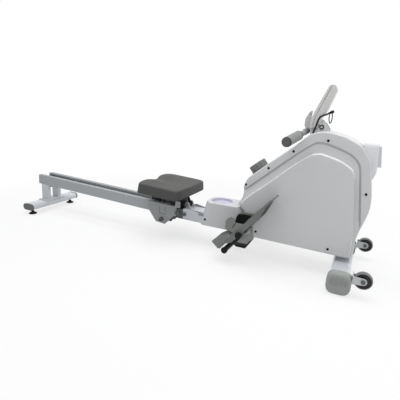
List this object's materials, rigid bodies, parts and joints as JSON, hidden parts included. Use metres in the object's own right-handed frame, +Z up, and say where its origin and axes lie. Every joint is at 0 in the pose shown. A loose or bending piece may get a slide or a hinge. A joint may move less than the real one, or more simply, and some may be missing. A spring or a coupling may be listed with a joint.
{
  "type": "rowing machine",
  "caption": "Folding home rowing machine: twin rails with a sliding saddle seat, flywheel housing with strap handle, tension knob, foot plates and console arm.",
  "frame": {"origin": "middle of the overall length and width, on the floor", "axes": "+X to the front (flywheel end), +Y to the rower's left when facing the flywheel, +Z up"},
  "size_m": [2.002, 0.516, 0.841],
  "materials": {
    "frame_paint": "satin",
    "bracket_steel": "satin",
    "boot_rubber": "matte",
    "black_rubber": "matte",
    "bolt_steel": "brushed",
    "shell_plastic": "semi-gloss",
    "arm_plastic": "semi-gloss",
    "dark_plastic": "matte",
    "grey_plastic": "matte",
    "cable_jacket": "matte",
    "strap_web": "woven",
    "rail_aluminium": "anodised",
    "dark_paint": "satin",
    "seat_skin": "smooth",
    "roller_plastic": "smooth",
    "pulley_plastic": "smooth",
    "flywheel_iron": "turned"
  },
  "bodies": {
    "front_frame": {"front_stabilizer": "frame_paint", "front_boots": "boot_rubber", "stabilizer_bracket": "bracket_steel", "main_beam": "frame_paint", "hinge_fork": "bracket_steel", "hinge_bolt": "bolt_steel", "frame_bolts": "bolt_steel", "beam_cover": "shell_plastic", "left_housing": "shell_plastic", "right_housing": "shell_plastic", "nose_cover": "shell_plastic", "rubber_pads": "boot_rubber", "frame_plates": "bracket_steel", "shaft_bearings": "bolt_steel", "console_arm_front": "arm_plastic", "console_arm_rear": "arm_plastic", "handle_hook": "arm_plastic", "centre_foot": "dark_plastic", "pedal_tubes": "bolt_steel", "pedal_tube_caps": "dark_plastic", "housing_screws": "dark_plastic", "caster_brackets": "bracket_steel", "console_cable": "cable_jacket", "cable_plug": "dark_plastic", "inner_strap": "strap_web", "drive_belt": "black_rubber"},
    "rail_frame": {"left_rail": "rail_aluminium", "right_rail": "rail_aluminium", "lock_plates": "dark_paint", "hinge_bracket": "dark_paint", "rail_end_caps": "dark_paint", "rear_posts": "frame_paint", "rear_stabilizer": "frame_paint", "rear_caps": "boot_rubber", "rail_stops": "black_rubber"},
    "seat": {"seat_cushion": "seat_skin", "seat_pan": "dark_plastic", "seat_carriage": "dark_paint"},
    "front_rollers": {"front_rollers": "roller_plastic"},
    "rear_rollers": {"rear_rollers": "roller_plastic"},
    "handle": {"handle_bar": "bolt_steel", "handle_grips": "boot_rubber", "pull_strap": "strap_web"},
    "drum": {"strap_drum": "dark_plastic"},
    "pulley": {"drive_pulley": "pulley_plastic"},
    "flywheel": {"flywheel": "flywheel_iron"},
    "guide": {"guide_roller": "roller_plastic"},
    "knob": {"tension_knob": "grey_plastic"},
    "magnet": {"magnet_bracket": "bracket_steel"},
    "left_foot": {"left_footplate": "dark_plastic", "left_foot_strap": "strap_web"},
    "right_foot": {"right_footplate": "dark_plastic", "right_foot_strap": "strap_web"},
    "left_heel": {"left_heel_cup": "grey_plastic"},
    "right_heel": {"right_heel_cup": "grey_plastic"},
    "left_caster": {"left_caster_wheel": "grey_plastic"},
    "right_caster": {"right_caster_wheel": "grey_plastic"},
    "lock": {"lock_pin": "bolt_steel"},
    "left_level": {"left_level_foot": "black_rubber"},
    "right_level": {"right_level_foot": "black_rubber"}
  },
  "joints": [
    {"name": "rail_fold", "type": "hinge", "parent": "front_frame", "child": "rail_frame", "pos_m": [0.061, 0, 0.198], "axis": [0, 1, 0], "range_deg": [0, 88]},
    {"name": "seat_slide", "type": "slide", "parent": "rail_frame", "child": "seat", "axis": [-0.9991, 0, 0.0419], "range_m": [0, 0.8]},
    {"name": "handle_pull", "type": "slide", "parent": "front_frame", "child": "handle", "axis": [-1, 0, 0], "range_m": [0, 0.9], "stiffness_N_per_m": 20, "deforming": ["pull_strap"]},
    {"name": "flywheel_spin", "type": "hinge", "parent": "front_frame", "child": "flywheel", "pos_m": [0.786, 0, 0.35], "axis": [0, 1, 0], "continuous": true},
    {"name": "knob_turn", "type": "hinge", "parent": "front_frame", "child": "knob", "pos_m": [0.441, 0, 0.4375], "axis": [-0.6361, 0, 0.7716], "range_deg": [0, 300]},
    {"name": "left_foot_tilt", "type": "hinge", "parent": "front_frame", "child": "left_foot", "pos_m": [0.423, 0.155, 0.156], "axis": [0, 1, 0], "range_deg": [-3.5, 20]},
    {"name": "left_heel_slide", "type": "slide", "parent": "left_foot", "child": "left_heel", "axis": [-0.6561, 0, -0.7547], "range_m": [0, 0.04]},
    {"name": "left_caster_spin", "type": "hinge", "parent": "front_frame", "child": "left_caster", "pos_m": [0.965, 0.225, 0.078], "axis": [0, 1, 0], "continuous": true},
    {"name": "left_level_screw", "type": "slide", "parent": "rail_frame", "child": "left_level", "axis": [0, 0, -1], "range_m": [0, 0.01]},
    {"name": "right_foot_tilt", "type": "hinge", "parent": "front_frame", "child": "right_foot", "pos_m": [0.423, -0.155, 0.156], "axis": [0, 1, 0], "range_deg": [-3.5, 20]},
    {"name": "right_heel_slide", "type": "slide", "parent": "right_foot", "child": "right_heel", "axis": [-0.6561, 0, -0.7547], "range_m": [0, 0.04]},
    {"name": "right_caster_spin", "type": "hinge", "parent": "front_frame", "child": "right_caster", "pos_m": [0.965, -0.225, 0.078], "axis": [0, 1, 0], "continuous": true},
    {"name": "right_level_screw", "type": "slide", "parent": "rail_frame", "child": "right_level", "axis": [0, 0, -1], "range_m": [0, 0.01]},
    {"name": "lock_pull", "type": "slide", "parent": "rail_frame", "child": "lock", "axis": [0, -1, 0], "range_m": [0, 0.02], "stiffness_N_per_m": 400},
    {"name": "front_rollers_spin", "type": "hinge", "parent": "seat", "child": "front_rollers", "pos_m": [-0.0191, 0, 0.15662], "axis": [0, 1, 0], "range_deg": [-2100, 0]},
    {"name": "rear_rollers_spin", "type": "hinge", "parent": "seat", "child": "rear_rollers", "pos_m": [-0.14899, 0, 0.16206], "axis": [0, 1, 0], "range_deg": [-2100, 0]},
    {"name": "drum_spin", "type": "hinge", "parent": "front_frame", "child": "drum", "pos_m": [0.551, 0, 0.3], "axis": [0, 1, 0], "range_deg": [-1650, 0]},
    {"name": "guide_spin", "type": "hinge", "parent": "front_frame", "child": "guide", "pos_m": [0.701, 0, 0.66], "axis": [0, 1, 0], "range_deg": [-3900, 0]},
    {"name": "pulley_spin", "type": "hinge", "parent": "front_frame", "child": "pulley", "pos_m": [0.551, 0, 0.3], "axis": [0, 1, 0], "continuous": true},
    {"name": "magnet_swing", "type": "hinge", "parent": "front_frame", "child": "magnet", "pos_m": [0.659, 0, 0.47], "axis": [0, 1, 0], "range_deg": [0, 5]}
  ],
  "couplings": [
    {"joint": "front_rollers_spin", "follows": "seat_slide", "rad_per_m": -45.455},
    {"joint": "rear_rollers_spin", "follows": "seat_slide", "rad_per_m": -45.455},
    {"joint": "drum_spin", "follows": "handle_pull", "rad_per_m": -31.949},
    {"joint": "guide_spin", "follows": "handle_pull", "rad_per_m": -75.188},
    {"joint": "pulley_spin", "follows": "flywheel_spin", "ratio": 0.23077},
    {"joint": "magnet_swing", "follows": "knob_turn", "ratio": 0.0166}
  ]
}
